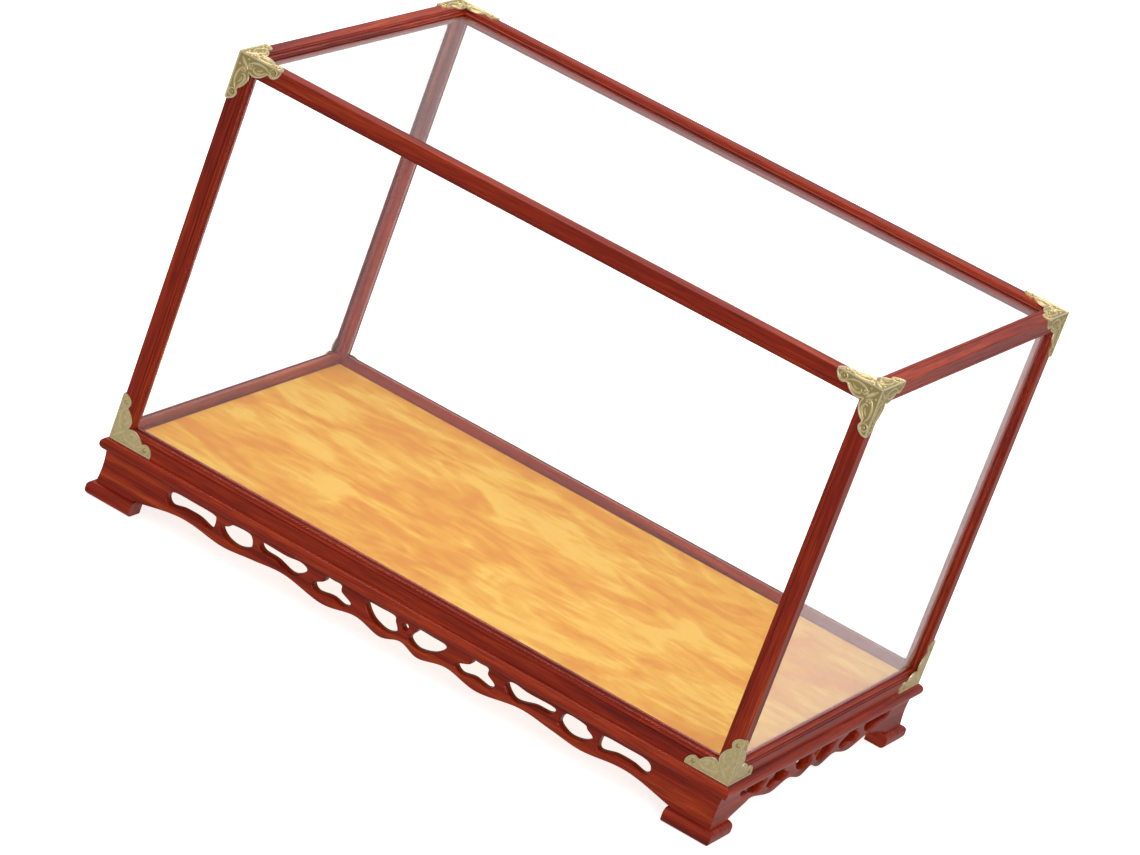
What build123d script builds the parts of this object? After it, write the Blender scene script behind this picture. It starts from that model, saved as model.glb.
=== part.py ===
from build123d import *
import os

# Tabletop display case: a glazed hardwood cover that lifts off a low carved base.
# Millimetres. The origin is under the middle of the case, on the surface that it stands on.
# +X runs along the case, the front faces -Y, +Z is up.

# ---- driving sizes -------------------------------------------------------------
cover_length = 498.0          # outer faces of the wooden frame, along X
cover_depth = 298.0           # outer faces of the wooden frame, along Y
cover_height = 289.0          # underside of the bottom rails to the top faces

# frame members of the cover
stock_width = 13.5            # visible width of a member on each outer face
flat_width = 8.6              # plain part of that face, from the outer edge
bead_width = 1.6              # small round bead beside the flat
quirk = 0.4                   # narrow sunk line at the side of the bead
bead_drop = 0.5               # depth of that sunk line
fillet_step = 0.9             # depth of the second, lower member
fillet_edge = 1.3             # where the cove starts, before the sight edge
glass_setback = 3.0           # outer face of the wood to the outer face of the glass
glass = 3.0                   # thickness of the panes
groove_play = 0.2             # a groove is this much wider than its glass
groove_depth = 5.0            # how far a pane's edge goes into the wood
pane_play = 0.5               # free space past a pane's edge, in the groove
inner_lip = 2.8               # wood behind the glass
arris = 0.7                   # softened outer edge

# brass corners and their pins
brass = 1.0                   # sheet thickness
corner_leg = 34.0             # length of each leg
brass_lift = 0.3              # the bottom corners stay this far above the base
pin_radius = 0.6
pin_gap = 0.2                 # between the pins on two faces of a leg, inside the wood
pin_head_radius = 1.5
pin_head_height = 0.7
pin_inset = 2.9               # from the wood's outer face to the pin
pin_reach = 28.5              # from the corner to the pin, along the leg

# base
rim_overhang = 4.7            # the top frame stands this far outside the cover
rail_width = 34.0
rail_thickness = 9.5
apron_height = 24.0
apron_thickness = 8.0
apron_setback = 4.6           # rim edge to the apron's face
apron_flare = 0.0             # how far the foot of the apron comes out again
apron_hollow = 0.7            # how far its face stands in, between its top and its foot
pad_thickness = 10.5
pad_proud = 4.2               # the pads stand out from the apron's top face
pad_front_length = 33.0
pad_side_length = 28.0
pad_width = 16.0
pad_round = 4.0
block_size = 14.0             # glue blocks
batten_width = 24.0
tenon_length = 6.0
tenon_thickness = 3.0
tenon_cheek = 3.0             # wood above and below a tenon

# floor
floor_play = 1.0              # gap round the lined floor, inside the cover
lining = 0.8
board_thickness = 6.2
screw_radius = 1.5
screw_head_radius = 3.0
screw_length = 13.0
screw_inset = 9.0             # from the inner edge of a rail

# ---- sizes that follow ---------------------------------------------------------
half_length = cover_length / 2
half_depth = cover_depth / 2
member_depth = glass_setback + glass + groove_play + inner_lip
groove_width = glass + groove_play
pin_depth = pin_inset - pin_radius - pin_gap
rim_half_length = half_length + rim_overhang
rim_half_depth = half_depth + rim_overhang
apron_half_length = rim_half_length - apron_setback
apron_half_depth = rim_half_depth - apron_setback
pad_top = pad_thickness
apron_top = pad_top + apron_height
base_top = apron_top + rail_thickness
cover_top = base_top + cover_height
floor_half_length = half_length - member_depth - floor_play
floor_half_depth = half_depth - member_depth - floor_play

SIDES = {"left": -1, "right": 1}
ENDS = {"front": -1, "back": 1}
parts = {}


# ---- cover: wooden members -------------------------------------------------------
def face_moulding():
    """Edges of one outer face, from the flat to the sight edge: u across, v into the wood."""
    bead_start = flat_width + quirk
    bead_end = bead_start + bead_width
    bead_middle = (bead_start + bead_end) / 2
    cove_start = stock_width - fillet_edge
    cove_middle = (cove_start + fillet_edge * 0.25, glass_setback - (glass_setback - fillet_step) * 0.3)
    return [
        Line((flat_width, 0), (flat_width, bead_drop)),
        Line((flat_width, bead_drop), (bead_start, bead_drop)),
        ThreePointArc((bead_start, bead_drop), (bead_middle, 0), (bead_end, bead_drop)),
        Line((bead_end, bead_drop), (bead_end, fillet_step)),
        Line((bead_end, fillet_step), (cove_start, fillet_step)),
        ThreePointArc((cove_start, fillet_step), cove_middle, (stock_width, glass_setback)),
    ]


def glass_groove():
    """The groove in a member's sight edge, and the lip behind it."""
    floor = stock_width - groove_depth
    back = glass_setback + groove_width
    points = [
        (stock_width, glass_setback),
        (floor, glass_setback),
        (floor, back),
        (stock_width, back),
        (stock_width, member_depth),
    ]
    return [Line(a, b) for a, b in zip(points, points[1:])]


def swapped(edges):
    """The same edges with u and v exchanged."""
    diagonal = Plane(origin=(0, 0, 0), x_dir=(1, 1, 0), z_dir=(-1, 1, 0))
    return [mirror(edge, about=diagonal) for edge in edges]


def corner_section():
    """Section of a post or top rail: two outer faces, a groove for a pane at each."""
    face = face_moulding() + glass_groove()
    inner = [Line((stock_width, member_depth), (member_depth, member_depth))]
    outer = [Line((arris, 0), (flat_width, 0))]
    edges = outer + face + inner
    edge_round = ThreePointArc((arris, 0), (arris * 0.293, arris * 0.293), (0, arris))
    return make_face(edges + swapped(edges) + [edge_round])


def sill_section():
    """Section of a bottom rail: one moulded face, one groove, a flat underside."""
    upright = swapped(face_moulding() + glass_groove() + [Line((0, 0), (flat_width, 0))])
    inner = Line((member_depth, stock_width), (member_depth, 0))
    underside = Line((member_depth, 0), (0, 0))
    return make_face(upright + [inner, underside])


def mitred_bar(section, length):
    """A bar along X, centred, cut at each end so that three bars meet at a corner."""
    bar = extrude(Plane.YZ * section, length / 2, both=True)
    reach = stock_width * 2
    for end in (-1, 1):
        tip = end * length / 2
        wedge = Polyline((tip, 0), (tip - end * reach, reach), (tip, reach), close=True)
        flat = make_face(wedge)
        bar -= extrude(flat, reach)
        bar -= extrude(Plane.XZ * flat, -reach)
    return bar


def placed(bar, middle, along, up):
    """Put a bar with its outer edge through a point, its X along one way and its Z another."""
    return Plane(origin=middle, x_dir=along, z_dir=up) * bar


def make_posts():
    bar = mitred_bar(corner_section(), cover_height)
    height = base_top + cover_height / 2
    for end, fy in ENDS.items():
        for side, fx in SIDES.items():
            corner = (fx * half_length, fy * half_depth, height)
            facing = (0, -fy, 0) if fx * fy > 0 else (-fx, 0, 0)
            parts[f"post_{end}_{side}"] = placed(bar, corner, (0, 0, 1), facing)


def make_top_rails():
    long_bar = mitred_bar(corner_section(), cover_length)
    short_bar = mitred_bar(corner_section(), cover_depth)
    for end, fy in ENDS.items():
        middle = (0, fy * half_depth, cover_top)
        parts[f"top_rail_{end}"] = placed(long_bar, middle, (fy, 0, 0), (0, 0, -1))
    for side, fx in SIDES.items():
        middle = (fx * half_length, 0, cover_top)
        parts[f"top_rail_{side}"] = placed(short_bar, middle, (0, -fx, 0), (0, 0, -1))


def make_bottom_rails():
    long_bar = mitred_bar(sill_section(), cover_length)
    short_bar = mitred_bar(sill_section(), cover_depth)
    for end, fy in ENDS.items():
        middle = (0, fy * half_depth, base_top)
        parts[f"bottom_rail_{end}"] = placed(long_bar, middle, (-fy, 0, 0), (0, 0, 1))
    for side, fx in SIDES.items():
        middle = (fx * half_length, 0, base_top)
        parts[f"bottom_rail_{side}"] = placed(short_bar, middle, (0, fx, 0), (0, 0, 1))


# ---- cover: glass ----------------------------------------------------------------
def make_panes():
    edge = stock_width - groove_depth
    width = cover_length - 2 * (edge + pane_play)
    depth = cover_depth - 2 * (edge + pane_play)
    height = cover_height - 2 * edge - pane_play
    foot = base_top + edge
    middle = foot + height / 2
    setback = glass_setback + groove_play / 2 + glass / 2
    for end, fy in ENDS.items():
        parts[f"pane_{end}"] = Pos(0, fy * (half_depth - setback), middle) * Box(width, glass, height)
    for side, fx in SIDES.items():
        parts[f"pane_{side}"] = Pos(fx * (half_length - setback), 0, middle) * Box(glass, depth, height)
    lid_level = cover_top - glass_setback - groove_width + glass / 2
    parts["pane_top"] = Pos(0, 0, lid_level) * Box(width, depth, glass)


# ---- cover: brass corners and pins --------------------------------------------------
def corner_outline():
    """One face of a brass corner: two legs with scalloped edges and a notch between them."""
    leg = corner_leg
    points = [
        (leg, brass),
        (leg * 0.98, leg * 0.12),
        (leg * 0.87, leg * 0.225),
        (leg * 0.73, leg * 0.185),
        (leg * 0.63, leg * 0.29),
        (leg * 0.48, leg * 0.365),
        (leg * 0.35, leg * 0.35),
    ]
    scallops = Spline(*points, tangents=[(0, 1), (-1, -1)])
    diagonal = Plane(origin=(0, 0, 0), x_dir=(1, 1, 0), z_dir=(-1, 1, 0))
    edges = [
        scallops,
        mirror(scallops, about=diagonal),
        Line((0, 0), (leg, 0)),
        Line((leg, 0), points[0]),
        Line((0, 0), (0, leg)),
        Line((0, leg), (brass, leg)),
    ]
    return make_face(edges)


def two_faced_corner():
    face = corner_outline()
    front = Plane(origin=(0, 0, 0), x_dir=(1, 0, 0), z_dir=(0, 1, 0)) * mirror(face, Plane.XZ)
    side = Plane(origin=(0, 0, 0), x_dir=(0, 1, 0), z_dir=(1, 0, 0)) * face
    return extrude(front, brass) + extrude(side, brass)


def three_faced_corner():
    return extrude(corner_outline(), brass) + two_faced_corner()


def pin():
    """A domed pin on Z: the head above zero, the shank below it."""
    dome_radius = (pin_head_radius**2 + pin_head_height**2) / (2 * pin_head_height)
    slab = Pos(0, 0, pin_head_height / 2) * Box(4 * pin_head_radius, 4 * pin_head_radius, pin_head_height)
    head = slab & Pos(0, 0, pin_head_height - dome_radius) * Sphere(dome_radius)
    shank_length = brass + pin_depth
    return head + Pos(0, 0, -shank_length / 2) * Cylinder(pin_radius, shank_length)


def pin_seats(three_faces):
    """Where the pins go on a corner: place and outward way, in the corner's own directions."""
    near = pin_inset + brass
    seats = [
        ((near, 0, pin_reach), (0, -1, 0)),
        ((0, near, pin_reach), (-1, 0, 0)),
        ((pin_reach, 0, near), (0, -1, 0)),
        ((0, pin_reach, near), (-1, 0, 0)),
    ]
    if three_faces:
        seats.append(((pin_reach, near, 0), (0, 0, -1)))
        seats.append(((near, pin_reach, 0), (0, 0, -1)))
    return seats


def corner_place(point, fx, fy, level, rise):
    """From a corner's own directions, all inward, to the case's."""
    x = fx * (half_length + brass - point[0])
    y = fy * (half_depth + brass - point[1])
    return (x, y, level + rise * point[2])


def make_corners():
    top_level = cover_top + brass
    hanging = mirror(three_faced_corner(), Plane.XY)
    top = Pos(-half_length - brass, -half_depth - brass, top_level) * hanging
    foot_level = base_top + brass_lift
    foot = Pos(-half_length - brass, -half_depth - brass, foot_level) * two_faced_corner()
    pins = []
    for end, fy in ENDS.items():
        for side, fx in SIDES.items():
            for name, shape in (("top_corner", top), ("bottom_corner", foot)):
                if fx > 0:
                    shape = mirror(shape, Plane.YZ)
                if fy > 0:
                    shape = mirror(shape, Plane.XZ)
                parts[f"{name}_{end}_{side}"] = shape
            for level, rise, lid in ((top_level, -1, True), (foot_level, 1, False)):
                for seat, way in pin_seats(lid):
                    place = corner_place(seat, fx, fy, level, rise)
                    outward = (-fx * way[0], -fy * way[1], rise * way[2])
                    pins.append(Plane(origin=place, z_dir=outward) * pin())
    return pins


def seat_pins(pins):
    """Cut each pin's hole where it goes through brass and wood."""
    for end in ENDS:
        for side in SIDES:
            names = [f"top_corner_{end}_{side}", f"bottom_corner_{end}_{side}", f"post_{end}_{side}"]
            names += [f"top_rail_{end}", f"top_rail_{side}", f"bottom_rail_{end}", f"bottom_rail_{side}"]
            near_x = SIDES[side] * half_length
            near_y = ENDS[end] * half_depth
            near = [p for p in pins if abs(p.center().X - near_x) < corner_leg * 2
                    and abs(p.center().Y - near_y) < corner_leg * 2]
            for name in names:
                parts[name] = parts[name] - near
    parts["corner_pins"] = Compound(children=[p.solid() for p in pins])


# ---- base: top frame ------------------------------------------------------------------
def mitre_cut(bar, half):
    """Cut both ends of a bar along X at 45 degrees, seen from above; its outer side faces -Y."""
    reach = half * 2
    for end in (-1, 1):
        wedge = Polyline((end * half, 0), (end * (half - reach), reach), (end * half, reach), close=True)
        bar -= extrude(make_face(wedge), reach, both=True)
    return bar


def rail_bar(half):
    """A rail of the top frame along X: outer edge rounded, its underside at zero."""
    round_edge = rail_thickness / 2
    edges = [
        ThreePointArc((round_edge, 0), (0, round_edge), (round_edge, rail_thickness)),
        Line((round_edge, rail_thickness), (rail_width, rail_thickness)),
        Line((rail_width, rail_thickness), (rail_width, 0)),
        Line((rail_width, 0), (round_edge, 0)),
    ]
    bar = extrude(Plane.YZ * make_face(edges), half, both=True)
    return mitre_cut(bar, half)


def batten_places():
    open_half = rim_half_length - rail_width
    return {side: fx * open_half * 0.4 for side, fx in SIDES.items()}


def batten_shape():
    span = 2 * (rim_half_depth - rail_width)
    body = Box(batten_width, span, rail_thickness)
    tenon = Box(batten_width - 2 * tenon_cheek, span + 2 * tenon_length, tenon_thickness)
    return body + tenon


def screw_places():
    x = rim_half_length - rail_width + screw_inset
    y = rim_half_depth - rail_width + screw_inset
    places = [(fx * x, fy * y * 0.5) for fx in (-1, 1) for fy in (-1, 1)]
    places += [(fx * x * 0.6, fy * y) for fx in (-1, 1) for fy in (-1, 1)]
    return places


def screw():
    """A countersunk screw, its head flush with zero and its point up."""
    slope = screw_head_radius - screw_radius
    head = Pos(0, 0, slope / 2) * Cone(screw_head_radius, screw_radius, slope)
    shank = Pos(0, 0, screw_length / 2) * Cylinder(screw_radius, screw_length)
    return head + shank


def make_base_frame():
    long_bar = rail_bar(rim_half_length)
    short_bar = rail_bar(rim_half_depth)
    rails = {
        "base_rail_front": Pos(0, -rim_half_depth, apron_top) * long_bar,
        "base_rail_back": Pos(0, rim_half_depth, apron_top) * Rot(0, 0, 180) * long_bar,
        "base_rail_left": Pos(-rim_half_length, 0, apron_top) * Rot(0, 0, -90) * short_bar,
        "base_rail_right": Pos(rim_half_length, 0, apron_top) * Rot(0, 0, 90) * short_bar,
    }
    battens = {}
    for side, x in batten_places().items():
        battens[f"batten_{side}"] = Pos(x, 0, apron_top + rail_thickness / 2) * batten_shape()
    screws = [Pos(x, y, apron_top) * screw() for x, y in screw_places()]
    for name, rail in rails.items():
        if name in ("base_rail_front", "base_rail_back"):
            rail = rail - list(battens.values())
        parts[name] = rail - screws
    parts.update(battens)
    board = Box(2 * (floor_half_length - lining), 2 * (floor_half_depth - lining), board_thickness)
    parts["floor_board"] = Pos(0, 0, base_top + board_thickness / 2) * board - screws
    cloth_height = board_thickness + lining
    cloth = Box(2 * floor_half_length, 2 * floor_half_depth, cloth_height)
    parts["floor_lining"] = Pos(0, 0, base_top + cloth_height / 2) * cloth - parts["floor_board"] - screws
    parts["floor_screws"] = Compound(children=[s.solid() for s in screws])


# ---- base: carved aprons -------------------------------------------------------------
# The carving is drawn for one half, u from the middle outwards and v down from the rim,
# on an apron pattern_height high whose open span is pattern_half each way. It is stretched
# to the real span and height.
front_pattern_half = 213.0
side_pattern_half = 123.6
pattern_height = 26.0
pattern_drop = apron_height / pattern_height

SLOT_NEAR = [(79.5, 6), (85, 2.6), (97, 3.9), (115, 3.6), (118, 5.6), (114, 9.6), (103, 10.4), (88.5, 13.8)]
CLOUD = [
    (52.5, 2.4), (58.5, 2.2), (64.5, 2.4), (65.6, 7), (72.3, 11.8),
    (68, 16.2), (57, 14.6), (47, 16.2), (42.3, 11.8), (51.2, 7),
]
QUARTER = [(9.8, 2.6), (20.5, 2.6), (31, 3.1), (30.6, 7), (23.7, 13.7), (12.5, 16.8), (5, 12.5), (8, 6)]
LEAF = [
    (124.5, 4.8), (129, 2.6), (140.5, 3.5), (143, 6),
    (148.2, 9.8), (142, 15.4), (132, 16.8), (123.3, 11.8),
]
SLOT_FAR = [
    (153.7, 6), (157, 3.6), (172, 3.3), (188, 3.7), (192.8, 8.5),
    (189, 14), (179, 12.2), (167, 12.2), (155, 14.8),
]
EYE_RADIUS = 2.3
EYE_LEVEL = 6.0
FRONT_EDGE = [
    (187, 20.3), (170, 19.5), (143.5, 22.8), (119, 20.3), (94, 18),
    (62, 23.2), (36.5, 18.8), (15.3, 23.2), (0, 18.7),
]
SIDE_EDGE = [(104, 20.5), (92, 18), (62, 23.2), (36.5, 18.8), (15.3, 23.2), (0, 18.7)]


def closed_curve(points, stretch, flip):
    line = [(flip * u * stretch, -v * pattern_drop) for u, v in points]
    return make_face(Spline(*line, periodic=True))


def lower_edge_cut(points, foot, stretch):
    """What is cut away under the apron, from one foot to the other."""
    half = [(u * stretch, -v * pattern_drop) for u, v in points]
    line = [(foot, -apron_height)] + half
    line += [(-u, v) for u, v in reversed(half[:-1])] + [(-foot, -apron_height)]
    below = -apron_height * 2
    edges = [
        Spline(*line),
        Polyline(line[-1], (-foot, below), (foot, below), line[0]),
    ]
    return make_face(edges)


def apron_bar(half, foot, pattern_half, holes, edge):
    """A carved apron along X: its face towards -Y, its top at zero."""
    face_line = ThreePointArc((0, 0), (apron_hollow, -apron_height * 0.6), (-apron_flare, -apron_height))
    back = apron_thickness
    edges = [
        face_line,
        Polyline((-apron_flare, -apron_height), (back, -apron_height), (back, 0), (0, 0)),
    ]
    bar = extrude(Plane.YZ * make_face(edges), half + apron_flare, both=True)
    stretch = foot / pattern_half
    cuts = [lower_edge_cut(edge, foot, stretch), Pos(0, -EYE_LEVEL * pattern_drop) * Circle(EYE_RADIUS)]
    for points in holes:
        cuts += [closed_curve(points, stretch, flip) for flip in (-1, 1)]
    for cut in cuts:
        bar -= extrude(Plane.XZ * cut, apron_thickness * 3, both=True)
    wide = half + apron_flare
    reach = half * 2
    for end in (-1, 1):
        wedge = Polyline(
            (end * wide, -apron_flare),
            (end * (wide - reach), reach - apron_flare),
            (end * wide, reach - apron_flare),
            close=True,
        )
        bar -= extrude(make_face(wedge), reach, both=True)
    return bar


def make_aprons():
    front_foot = apron_half_length - pad_front_length
    side_foot = apron_half_depth - pad_side_length
    front_holes = [QUARTER, CLOUD, SLOT_NEAR, LEAF, SLOT_FAR]
    side_holes = [QUARTER, CLOUD, SLOT_NEAR]
    long_bar = apron_bar(apron_half_length, front_foot, front_pattern_half, front_holes, FRONT_EDGE)
    short_bar = apron_bar(apron_half_depth, side_foot, side_pattern_half, side_holes, SIDE_EDGE)
    parts["apron_front"] = Pos(0, -apron_half_depth, apron_top) * long_bar
    parts["apron_back"] = Pos(0, apron_half_depth, apron_top) * Rot(0, 0, 180) * long_bar
    parts["apron_left"] = Pos(-apron_half_length, 0, apron_top) * Rot(0, 0, -90) * short_bar
    parts["apron_right"] = Pos(apron_half_length, 0, apron_top) * Rot(0, 0, 90) * short_bar


# ---- base: feet and glue blocks ------------------------------------------------------
def make_feet():
    pad_half_length = apron_half_length + pad_proud
    pad_half_depth = apron_half_depth + pad_proud
    long_arm = pad_front_length + pad_proud
    short_arm = pad_side_length + pad_proud
    outline = Polyline(
        (0, 0),
        (long_arm, 0),
        (long_arm, pad_width),
        (pad_width, pad_width),
        (pad_width, short_arm),
        (0, short_arm),
        close=True,
    )
    pad = extrude(make_face(outline), pad_thickness)
    level_edges = pad.edges().filter_by(Axis.Z, reverse=True)
    outer = [e for e in level_edges if min(e.center().X, e.center().Y) < 0.01]
    pad = fillet(outer, min(pad_round, pad_thickness * 0.4))
    corner = Pos(-pad_half_length, -pad_half_depth, 0) * pad
    inner_x = apron_half_length - apron_thickness
    inner_y = apron_half_depth - apron_thickness
    prism = make_face(Polyline((0, 0), (block_size, 0), (0, block_size), close=True))
    block = Pos(-inner_x, -inner_y, pad_top) * extrude(prism, apron_height)
    for end, fy in ENDS.items():
        for side, fx in SIDES.items():
            for name, shape in (("foot_pad", corner), ("corner_block", block)):
                if fx > 0:
                    shape = mirror(shape, Plane.YZ)
                if fy > 0:
                    shape = mirror(shape, Plane.XZ)
                parts[f"{name}_{end}_{side}"] = shape


# ---- build and write ---------------------------------------------------------------------
make_posts()
make_top_rails()
make_bottom_rails()
make_panes()
seat_pins(make_corners())
make_base_frame()
make_aprons()
make_feet()

os.makedirs("parts", exist_ok=True)
for name, shape in parts.items():
    shape.label = name
    export_step(shape, f"parts/{name}.step")
print(f"{len(parts)} parts written")
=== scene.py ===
# %% [markdown]
# # A tabletop display case
# A glazed hardwood cover with brass corners lifts off a low carved base with a velvet floor.
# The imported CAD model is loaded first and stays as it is: the straight frame members, the glass
# and the hidden parts keep its shapes and get finishes. The carved aprons, the stamped corners,
# the pins and the velvet need finer form than that, so they are made here and stand in for it.

# %% Load the frame
import math

import bmesh
import bpy
import numpy as np
from mathutils import Matrix, Vector
from mathutils.geometry import delaunay_2d_cdt


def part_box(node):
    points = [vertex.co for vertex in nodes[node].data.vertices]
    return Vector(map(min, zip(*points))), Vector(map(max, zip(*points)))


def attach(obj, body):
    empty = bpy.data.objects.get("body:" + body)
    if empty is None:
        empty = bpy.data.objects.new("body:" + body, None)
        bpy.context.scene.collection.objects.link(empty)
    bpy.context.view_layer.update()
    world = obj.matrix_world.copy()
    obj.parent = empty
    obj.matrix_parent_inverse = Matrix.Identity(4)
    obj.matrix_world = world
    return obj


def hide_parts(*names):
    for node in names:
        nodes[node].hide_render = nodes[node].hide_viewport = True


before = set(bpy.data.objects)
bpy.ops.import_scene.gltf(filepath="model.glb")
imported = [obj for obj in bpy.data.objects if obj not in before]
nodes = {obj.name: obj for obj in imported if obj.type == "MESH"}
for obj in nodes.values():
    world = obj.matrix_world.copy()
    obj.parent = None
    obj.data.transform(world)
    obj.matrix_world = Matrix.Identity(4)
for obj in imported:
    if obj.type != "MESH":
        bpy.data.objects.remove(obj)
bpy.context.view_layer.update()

MM = 0.001

# %% [markdown]
# ## Camera
# The case is seen from the front and a little to the right, from above, through a long lens.
# The camera is rolled, so the uprights lean to the right. A camera's place can be set with
# angles, but three directions are easier to check: right, down and forward, each at a right
# angle to the others.

# %% Camera
IMAGE_WIDTH = 1140.0
SENSOR_MM = 36.0
FOCAL_PIXELS = 5479.1
camera_data = bpy.data.cameras.new("camera")
camera_data.sensor_width = SENSOR_MM
camera_data.lens = FOCAL_PIXELS / IMAGE_WIDTH * SENSOR_MM
camera_data.clip_end = 50.0
camera = bpy.data.objects.new("camera", camera_data)
bpy.context.scene.collection.objects.link(camera)
right = Vector((0.82362, 0.46416, 0.32588))
down = Vector((0.44844, -0.18123, -0.87524))
forward = Vector((-0.34719, 0.86701, -0.35742))
turn = Matrix((right, -down, -forward)).transposed().to_4x4()
camera.matrix_world = Matrix.Translation((1.2840, -3.2038, 1.4698)) @ turn
bpy.context.scene.camera = camera
print("lens in millimetres:", round(camera_data.lens, 1))

# %% [markdown]
# ## Two helpers for materials
# Colours are picked as the hex values that a paint chip shows, and a shader wants them linear.
# A material is a small net of nodes, so one function adds a node, sets it up and links it.

# %% Helpers for materials
def linear(hex_colour):
    """An sRGB hex colour as linear red, green, blue and alpha."""
    channels = [int(hex_colour[i:i + 2], 16) / 255 for i in (1, 3, 5)]
    curve = [c / 12.92 if c <= 0.04045 else ((c + 0.055) / 1.055) ** 2.4 for c in channels]
    return (*curve, 1.0)


def add(tree, kind, inputs=None, **settings):
    """Adds a node, sets its properties, and sets or links its inputs. Returns the node."""
    node = tree.nodes.new(kind)
    for name, value in settings.items():
        setattr(node, name, value)
    for key, value in (inputs or {}).items():
        if isinstance(value, bpy.types.NodeSocket):
            tree.links.new(value, node.inputs[key])
        else:
            node.inputs[key].default_value = value
    return node


def blank_material(name):
    material = bpy.data.materials.new(name)
    material.use_nodes = True
    material.node_tree.nodes.clear()
    return material, material.node_tree


def set_ramp(ramp, stops):
    """Fills a colour ramp with (place, hex colour) stops."""
    elements = ramp.color_ramp.elements
    while len(elements) < len(stops):
        elements.new(0.5)
    for element, (place, colour) in zip(elements, stops):
        element.position = place
        element.color = linear(colour)


def finish_material(material, tree, shader):
    add(tree, "ShaderNodeOutputMaterial", {"Surface": shader.outputs[0]})
    print("material:", material.name)
    return material


# %% [markdown]
# ## Wood
# The frame is a dense red hardwood, planed, moulded, stained and lacquered to a satin gloss.
# Its grain runs along each member: long soft bands of darker wood, with short dark pores.
# Noise that is stretched along the grain gives both. The case has members in all three
# directions, so the same recipe is made three times, each with its own long axis.
# Real pores are about 0.15 mm wide, too fine to show here, so they are drawn 0.7 mm wide.

# %% Wood recipe
PORE = (22 * MM, 0.7 * MM)       # length and width of a drawn pore
BAND = (190 * MM, 6.5 * MM)      # length and width of a band of colour


def stretched(tree, axis, length, width):
    """Object coordinates divided so that one unit is length along the grain and width across."""
    place = add(tree, "ShaderNodeTexCoord")
    scale = [1 / width] * 3
    scale[axis] = 1 / length
    inputs = {"Vector": place.outputs["Object"], "Scale": scale}
    return add(tree, "ShaderNodeMapping", inputs).outputs["Vector"]


def wood(name, axis, stops, pore_colour, roughness, gloss):
    material, tree = blank_material(name)
    bands = add(tree, "ShaderNodeTexNoise", {
        "Vector": stretched(tree, axis, *BAND), "Scale": 1.0, "Detail": 5.0,
        "Roughness": 0.62, "Distortion": 0.6,
    })
    pores = add(tree, "ShaderNodeTexNoise", {
        "Vector": stretched(tree, axis, *PORE), "Scale": 1.0, "Detail": 3.0, "Roughness": 0.55,
    })
    body = add(tree, "ShaderNodeValToRGB", {"Fac": bands.outputs["Fac"]})
    set_ramp(body, stops)
    dark = add(tree, "ShaderNodeMapRange", {
        "Value": pores.outputs["Fac"], "From Min": 0.38, "From Max": 0.56,
        "To Min": 0.42, "To Max": 0.0,
    })
    # a Mix node has one set of sockets for each type of value; 6 and 7 are the two colours
    colour = add(tree, "ShaderNodeMix", {
        0: dark.outputs["Result"], 6: body.outputs["Color"], 7: linear(pore_colour),
    }, data_type="RGBA")
    bump = add(tree, "ShaderNodeBump", {
        "Height": pores.outputs["Fac"], "Strength": 0.2, "Distance": 0.12 * MM,
    })
    shader = add(tree, "ShaderNodeBsdfPrincipled", {
        "Base Color": colour.outputs[2], "Normal": bump.outputs["Normal"],
        "Roughness": roughness, "IOR": 1.5, "Specular IOR Level": gloss,
    })
    return finish_material(material, tree, shader)


ROSEWOOD = [(0.30, "#761708"), (0.45, "#9c270c"), (0.56, "#ae3412"), (0.70, "#c64b1c")]
ROSEWOOD_PORES = "#3a0a07"
rosewood = [
    wood(f"lacquered_rosewood_{letter}", axis, ROSEWOOD, ROSEWOOD_PORES, 0.22, 0.28)
    for axis, letter in enumerate("xyz")
]
SOFTWOOD = [(0.3, "#b98a55"), (0.5, "#cfa36c"), (0.7, "#dcb682")]
planed_pine = wood("planed_pine", 1, SOFTWOOD, "#9a6c3c", 0.7, 0.2)
birch_plywood = wood("birch_plywood", 0, [(0.3, "#c8a878"), (0.7, "#dcc094")], "#b08c5c", 0.7, 0.2)

# %% [markdown]
# ## Glass, brass, steel
# Float glass is clear with a clean reflection. Light that passes through it on its way to the
# floor has to stay, so for rays that look for a lamp the pane is simply transparent.
# The corners are stamped from thin brass and lacquered: the high places are rubbed bright and
# the low places keep a dull green-brown. The mesh carries how high each point stands, in an
# attribute named relief, and the colour follows that. Its fine grain is about 0.35 mm, and old
# lacquer clouds it in blotches of 2 to 3 mm. That lacquer scatters part of the light, so the metal
# is not a pure mirror and its metallic value is below 1.

# %% Glass, brass and steel
def clear_glass():
    material, tree = blank_material("clear_float_glass")
    glass = add(tree, "ShaderNodeBsdfPrincipled", {
        "Base Color": linear("#fbfdfd"), "Roughness": 0.0, "IOR": 1.5,
        "Specular IOR Level": 0.3, "Transmission Weight": 1.0,
    })
    clear = add(tree, "ShaderNodeBsdfTransparent", {"Color": linear("#f7fafa")})
    ray = add(tree, "ShaderNodeLightPath")
    mixed = add(tree, "ShaderNodeMixShader", {"Fac": ray.outputs["Is Shadow Ray"]})
    tree.links.new(glass.outputs[0], mixed.inputs[1])
    tree.links.new(clear.outputs[0], mixed.inputs[2])
    return finish_material(material, tree, mixed)


GRIT = 0.35 * MM
PATINA = 2.4 * MM                # size of the blotches in the lacquer


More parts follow.
